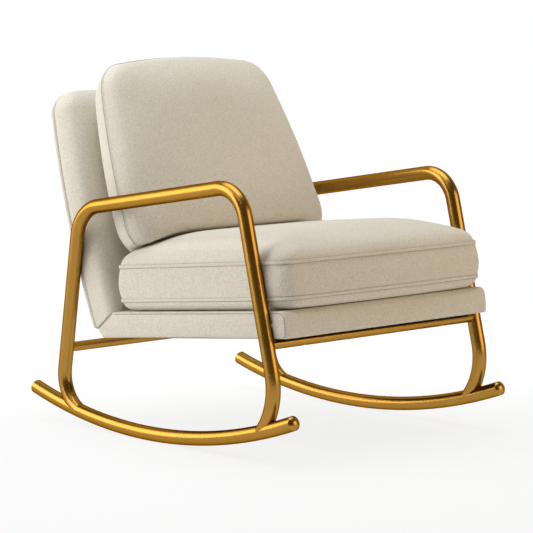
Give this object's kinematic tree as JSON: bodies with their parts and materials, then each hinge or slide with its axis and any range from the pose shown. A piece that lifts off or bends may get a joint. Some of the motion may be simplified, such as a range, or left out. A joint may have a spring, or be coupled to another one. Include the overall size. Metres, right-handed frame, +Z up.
{
  "type": "upholstered rocking chair",
  "caption": "Rocking armchair: bent tube side frames on curved runners, an upholstered seat base and back, and loose seat and back cushions.",
  "frame": {"origin": "on the floor, midway between the runners, at the line where they touch it", "axes": "+Z up, the sitter faces -Y, +X to the sitter's left"},
  "size_m": [0.676, 0.9053, 0.8372],
  "materials": {
    "gold_steel": "satin gold lacquer on steel tube",
    "shell_fabric": "fine linen weave, cream",
    "cushion_fabric": "fine linen weave, cream",
    "foam": "open-cell foam and fibre",
    "frame_wood": "plain sawn, unfinished",
    "webbing": "woven elastic",
    "dust_cloth": "non-woven cloth",
    "fixing_steel": "zinc plated"
  },
  "bodies": {
    "chair": {"right_arm_leg_tube": "gold_steel", "left_arm_leg_tube": "gold_steel", "right_runner": "gold_steel", "left_runner": "gold_steel", "right_runner_front_cap": "gold_steel", "left_runner_front_cap": "gold_steel", "right_runner_rear_cap": "gold_steel", "left_runner_rear_cap": "gold_steel", "front_cross_rail": "gold_steel", "rear_cross_rail": "gold_steel", "seat_base_cover": "shell_fabric", "back_panel_cover": "shell_fabric", "back_rear_cover": "shell_fabric", "seat_base_padding": "foam", "back_panel_padding": "foam", "seat_front_board": "frame_wood", "seat_rear_board": "frame_wood", "seat_right_side_board": "frame_wood", "seat_left_side_board": "frame_wood", "seat_corner_blocks": "frame_wood", "back_top_rail": "frame_wood", "back_right_post": "frame_wood", "back_left_post": "frame_wood", "back_lower_rail": "frame_wood", "seat_lengthwise_webbing": "webbing", "seat_crosswise_webbing": "webbing", "back_webbing": "webbing", "seat_dust_cover": "dust_cloth", "seat_bolt_washers": "fixing_steel", "seat_tee_nuts": "fixing_steel", "front_seat_bolts": "fixing_steel", "rear_seat_bolts": "fixing_steel", "rear_right_bracket": "fixing_steel", "rear_left_bracket": "fixing_steel"},
    "seat_cushion": {"seat_cushion_cover": "cushion_fabric", "seat_cushion_filling": "foam"},
    "back_cushion": {"back_cushion_cover": "cushion_fabric", "back_cushion_filling": "foam"}
  },
  "joints": [
    {"name": "seat_cushion_slide", "type": "slide", "parent": "chair", "child": "seat_cushion", "axis": [0, -0.9951, 0.0985], "range_m": [0, 0.12]},
    {"name": "back_cushion_slide", "type": "slide", "parent": "chair", "child": "back_cushion", "axis": [0, 0.4067, 0.9135], "range_m": [0, 0.15]}
  ]
}
